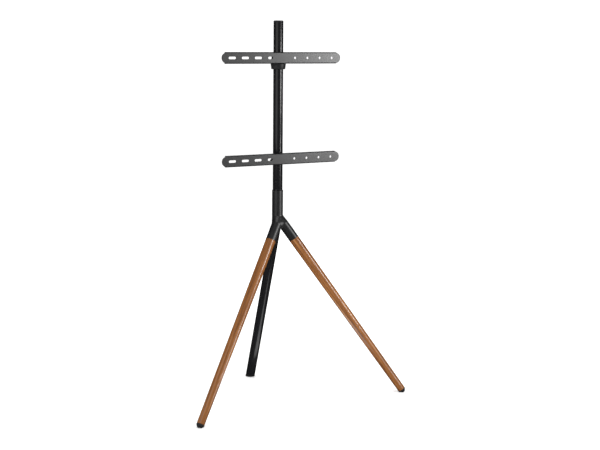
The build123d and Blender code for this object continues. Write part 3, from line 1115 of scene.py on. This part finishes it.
@dataclass
class ScreenBar:
    """A folded steel bar with flat round ends, round holes on one half and slots on the other."""

    level: Level
    finishes: Finishes
    sheet: float = 0.0025
    bend: float = 0.004
    bend_faces: int = 8
    edge_rounding: float = 0.00035
    end_height: float = 0.036
    inset: float = 0.0155
    hole_radius: float = 0.00425
    pitch: float = 0.050
    holes: int = 4
    slots: tuple[Station, ...] = (
        (-0.195, 0.028),
        (-0.145, 0.028),
        (-0.095, 0.028),
        (-0.0475, 0.019),
    )

    def build(self) -> None:
        """Fold the channel, add the ends, punch the holes and ease the edges."""
        low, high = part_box(f"{self.level.value}_bar")
        height = (low.z + high.z) / 2
        bar = self.fold(low, high)
        for end in (-1, 1):
            grow_by(bar, self.end_plate(end, low, high))
        holes = [(self.pitch * (index + 1), 2 * self.hole_radius) for index in range(self.holes)]
        for centre, opening in (*holes, *self.slots):
            cut_away(bar, self.punch(centre, height, opening, low.y))
        soften(bar, self.edge_rounding, angle=40)
        name = f"{self.level.value}_screen_bar"
        body = f"{self.level.value}_bracket"
        nodes = [f"{self.level.value}_bar"]
        self.finishes.dress(bar, name, "bar_powder_coat", body, nodes)

    def fold(self, low: Vector, high: Vector) -> bpy.types.Object:
        """Fold the channel from a block.

        Its front edges are rounded, its back and ends opened and its skin given the sheet's
        thickness.

        Args:
            low: the bar's lowest corner.
            high: the bar's highest corner.

        Returns:
            The channel as a closed solid.
        """
        length = high.x - low.x - 2 * self.inset
        clear_bench()
        bpy.ops.mesh.primitive_cube_add(size=1, location=(low + high) / 2)
        bar = bpy.context.object
        bar.scale = (length, high.y - low.y, high.z - low.z)
        fix_place(bar)

        def is_front_edge(edge: bmesh.types.BMEdge) -> bool:
            """Whether an edge runs along the bar on its front."""
            run = abs(edge.verts[0].co.x - edge.verts[1].co.x)
            return run > length / 2 and middle(edge).y < low.y + HAIR

        def is_open(face: bmesh.types.BMFace) -> bool:
            """Whether a face closes the back or an end."""
            return face.normal.y > SQUARE or abs(face.normal.x) > SQUARE

        pick(bar, Element.EDGES, is_front_edge)
        bpy.ops.mesh.bevel(offset=self.bend, segments=self.bend_faces)
        bpy.ops.object.mode_set(mode="OBJECT")
        pick(bar, Element.FACES, is_open)
        bpy.ops.mesh.delete(type="FACE")
        bpy.ops.object.mode_set(mode="OBJECT")
        use_modifier(bar, "SOLIDIFY", thickness=self.sheet, offset=-1, use_even_offset=True)
        return bar

    def end_plate(self, end: int, low: Vector, high: Vector) -> bpy.types.Object:
        """Cut a flat half-round end plate.

        Args:
            end: -1 for the left end, 1 for the right.
            low: the bar's lowest corner.
            high: the bar's highest corner.

        Returns:
            The closed plate.
        """
        radius = self.end_height / 2
        tip = high.x
        height = (low.z + high.z) / 2
        plate = turn("plate", [(0, radius), (self.sheet, radius)], sides=FINE_SIDES)
        facing = Matrix.Rotation(-math.pi / 2, 4, "X")
        stand_at(plate, Matrix.Translation((end * (tip - radius), low.y, height)) @ facing)
        trim(plate, Vector((end * (tip - self.inset), 0, 0)), Vector((-end, 0, 0)))
        return plate

    def punch(self, centre: float, height: float, length: float, front: float) -> bpy.types.Object:
        """Make a round-ended punch.

        Args:
            centre: its place on X.
            height: its place on Z.
            length: its overall length; twice the hole's radius makes it round.
            front: the bar's front face on Y.

        Returns:
            The closed punch.
        """
        proud = 2 * OVERSHOOT
        ends = [(-proud, self.hole_radius), (self.sheet + proud, self.hole_radius)]
        punch = turn("punch", ends, sides=BORE_SIDES)
        reach = length / 2 - self.hole_radius
        if reach > 0:
            for way in (1, -1):

                def is_half(edge: bmesh.types.BMEdge, way: int = way) -> bool:
                    """Whether an edge lies on the half that moves."""
                    return all(way * (v.co.x - HAIR) > 0 for v in edge.verts)

                pick(punch, Element.EDGES, is_half)
                bpy.ops.transform.translate(value=(way * reach, 0, 0))
                bpy.ops.object.mode_set(mode="OBJECT")
        facing = Matrix.Rotation(-math.pi / 2, 4, "X")
        stand_at(punch, Matrix.Translation((centre, front, height)) @ facing)
        return punch


@dataclass
class Collar:
    """The tapered collar under the upper clamp."""

    finishes: Finishes
    bore: float = 0.01755
    neck: float = 0.0204
    neck_rise: float = 0.0044
    wide: float = 0.027
    narrow: float = 0.0246
    foot: tuple[Station, ...] = ((0, 0.0025), (0.0004, 0.0012), (0.0014, 0.0002))
    foot_rise: float = 0.0027
    brow_drop: float = 0.0010
    brow: tuple[Station, ...] = ((0.0002, 0.0004), (0, 0.0011))
    edge_rounding: float = 0.0003

    def build(self) -> None:
        """Turn the collar, bore it and round its foot."""
        low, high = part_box("upper_collar")
        ledge = high.z - self.neck_rise
        taper = (self.wide - self.narrow) / (ledge - low.z)
        stations = [
            *[(low.z + rise, self.narrow - inward) for rise, inward in self.foot],
            (low.z + self.foot_rise, self.narrow + taper * self.foot_rise),
            (ledge - self.brow_drop, self.wide - taper * self.brow_drop),
            *rounded(ledge, self.wide, self.brow),
            (ledge + LEDGE, self.neck),
            (high.z, self.neck),
        ]
        collar = turn("collar", stations, sides=FINE_SIDES)
        ends = [(low.z - OVERSHOOT, self.bore), (high.z + OVERSHOOT, self.bore)]
        cut_away(collar, turn("bore", ends, sides=FINE_SIDES))
        soften(collar, self.edge_rounding, angle=50)
        nodes = ["upper_collar"]
        self.finishes.dress(collar, "collar_ring", "black_plastic", "upper_bracket", nodes)


@dataclass
class HandKnob:
    """The fluted hand knob beside a clamp."""

    level: Level
    finishes: Finishes
    grip_radius: float = 0.014
    hub_radius: float = 0.0085
    hub_length: float = 0.003
    lobes: int = 8
    flute_radius: float = 0.003
    flute_centre: float = 0.0156
    dish_radius: float = 0.0090
    dish_depth: float = 0.0012
    dish_slope: float = 0.001
    back_rounding: float = 0.0012
    brow: tuple[Station, ...] = ((0.0024, 0), (0.0010, 0.0008), (0.0002, 0.0024), (0, 0.0040))
    flute_start: float = 0.0001
    thread_radius: float = 0.00405
    thread_depth: float = 0.0105
    edge_rounding: float = 0.0004

    def build(self) -> None:
        """Turn the grip, cut its flutes, dish its face and ease the edges."""
        low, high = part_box(f"{self.level.value}_knob")
        length = high.x - low.x
        stations = [
            (0, self.hub_radius),
            (self.hub_length, self.hub_radius),
            (self.hub_length, self.grip_radius - self.back_rounding),
            (self.hub_length + self.back_rounding, self.grip_radius),
            *rounded(length, self.grip_radius, self.brow),
        ]
        knob = turn("knob", stations, sides=FINE_SIDES)
        top = length + OVERSHOOT
        for index in range(self.lobes):
            ends = [(self.flute_start, self.flute_radius), (top, self.flute_radius)]
            flute = turn("flute", ends, sides=32)
            around = Matrix.Rotation(2 * math.pi * index / self.lobes, 4, "Z")
            stand_at(flute, around @ Matrix.Translation((self.flute_centre, 0, 0)))
            cut_away(knob, flute)
        floor = (length - self.dish_depth, self.dish_radius - self.dish_slope)
        cut_away(knob, turn("dish", [floor, (top, self.dish_radius)], sides=64))
        ends = [(-OVERSHOOT, self.thread_radius), (self.thread_depth, self.thread_radius)]
        cut_away(knob, turn("thread", ends, sides=BORE_SIDES))
        soften(knob, self.edge_rounding, angle=40)
        centre = (low + high) / 2
        sideways = Matrix.Rotation(math.pi / 2, 4, "Y")
        stand_at(knob, Matrix.Translation((low.x, centre.y, centre.z)) @ sideways)
        name = f"{self.level.value}_hand_knob"
        body = f"{self.level.value}_clamp_knob"
        nodes = [f"{self.level.value}_knob"]
        self.finishes.dress(knob, name, "black_plastic", body, nodes)


# ---- what stays as the frame made it ----


def dress_frame(finishes: Finishes) -> None:
    """Give every frame node the finish of its slot.

    Args:
        finishes: the mixed finishes.
    """
    slots = {part["node"]: part["material_slot"] for part in frame["record"]["subparts"]}
    for node, thing in frame["nodes"].items():
        finish = finishes.by_slot.get(slots[node])
        if finish is None:
            continue
        thing.data.materials.clear()
        thing.data.materials.append(finish)
        log.info("%s wears %s", node, finish.name)


# ---- studio ----


@dataclass(frozen=True)
class SoftBox:
    """A rectangular studio light aimed at the stand."""

    name: str
    place: Point
    aim: Point
    width: float
    height: float
    power: float

    def hang(self) -> None:
        """Hang the light."""
        light = bpy.data.lights.new(self.name, "AREA")
        light.shape = "RECTANGLE"
        light.size = self.width
        light.size_y = self.height
        light.energy = self.power
        lamp = bpy.data.objects.new(self.name, light)
        bpy.context.scene.collection.objects.link(lamp)
        lamp.location = self.place
        lamp.visible_camera = False
        aim = Vector(self.aim) - Vector(self.place)
        lamp.rotation_euler = aim.to_track_quat("-Z", "Y").to_euler()


@dataclass
class Studio:
    """Floor, lights, background and camera."""

    camera_place: Point = (-1.8634, -3.4655, 1.2883)
    heading: float = 29.455
    tilt_down: float = 9.585
    roll: float = 0.51
    lens: float = 66.37
    sensor_width: float = 36
    view_range: float = 200
    surroundings: float = 1.2
    floor_radius: float = 60
    floor_drop: float = 0.0002
    floor_dark: Colour = (0.93, 0.93, 0.93)
    floor_light: Colour = (0.95, 0.95, 0.95)
    lights: tuple[SoftBox, ...] = (
        SoftBox("right_strip", (1.38, -1.71, 1.35), (0, 0, 1.15), 0.25, 1.15, 20.5),
        SoftBox("right_low_strip", (1.38, -1.71, 0.25), (0, 0, 0.40), 0.25, 0.5, 6.2),
        SoftBox("left_box", (-2.25, -1.10, 1.15), (0, 0, 0.80), 2.0, 2.6, 13),
        SoftBox("rear_box", (1.5, 2.8, 1.6), (0, 0, 0.8), 1.8, 2.4, 34),
        SoftBox("top_box", (0, -0.2, 3.2), (0, 0, 0.8), 1.2, 1.2, 13),
        SoftBox("floor_card", (0.04, -0.23, 0.002), (0.04, -0.23, 1.0), 0.16, 0.72, 0.55),
    )

    def build(self) -> None:
        """Set up the studio."""
        self.lay_floor()
        for light in self.lights:
            light.hang()
        self.paint_background()
        self.place_camera()

    def lay_floor(self) -> None:
        """Lay a wide pale floor."""
        clear_bench()
        bpy.ops.mesh.primitive_circle_add(
            vertices=FINE_SIDES,
            radius=self.floor_radius,
            fill_type="NGON",
            location=(0, 0, -self.floor_drop),
        )
        floor = bpy.context.object
        floor.name = "studio_floor"
        recipe = Recipe("pale_floor")
        place = recipe.mapped((1, 1, 1))
        cloud = recipe.noise(place, 0.8, detail=2)
        tones = recipe.ramp(cloud, [(0.2, self.floor_dark), (0.8, self.floor_light)])
        recipe.wire(tones, "Base Color")
        recipe.set(Roughness=0.9, Specular_IOR_Level=0.1)
        floor.data.materials.append(recipe.material)
        floor.visible_glossy = False

    def paint_background(self) -> None:
        """Make the surroundings an even white."""
        world = bpy.data.worlds.new("white_surroundings")
        bpy.context.scene.world = world
        world.use_nodes = True
        background = world.node_tree.nodes["Background"]
        background.inputs["Color"].default_value = (1, 1, 1, 1)
        background.inputs["Strength"].default_value = self.surroundings
        world.cycles_visibility.glossy = False
        bpy.context.scene.view_settings.view_transform = "Standard"

    def place_camera(self) -> None:
        """Place the camera."""
        camera = bpy.data.cameras.new("camera")
        camera.lens = self.lens
        camera.sensor_width = self.sensor_width
        camera.clip_end = self.view_range
        eye = bpy.data.objects.new("camera", camera)
        bpy.context.scene.collection.objects.link(eye)
        turned = Matrix.Rotation(math.radians(-self.heading), 4, "Z")
        turned = turned @ Matrix.Rotation(math.radians(90 - self.tilt_down), 4, "X")
        turned = turned @ Matrix.Rotation(math.radians(self.roll), 4, "Z")
        eye.matrix_world = Matrix.Translation(self.camera_place) @ turned
        bpy.context.scene.camera = eye


def main() -> None:
    """Build the stand."""
    logging.basicConfig(level=logging.INFO, format="%(message)s")
    finishes = Finishes()
    dress_frame(finishes)
    CastHub(finishes).build()
    for side in Side:
        WoodLeg(side, finishes).build()
    RearLeg(finishes).build()
    Pole(finishes).build()
    for level in Level:
        ScreenBar(level, finishes).build()
        HandKnob(level, finishes).build()
    Collar(finishes).build()
    Studio().build()


if __name__ == "__main__":
    main()
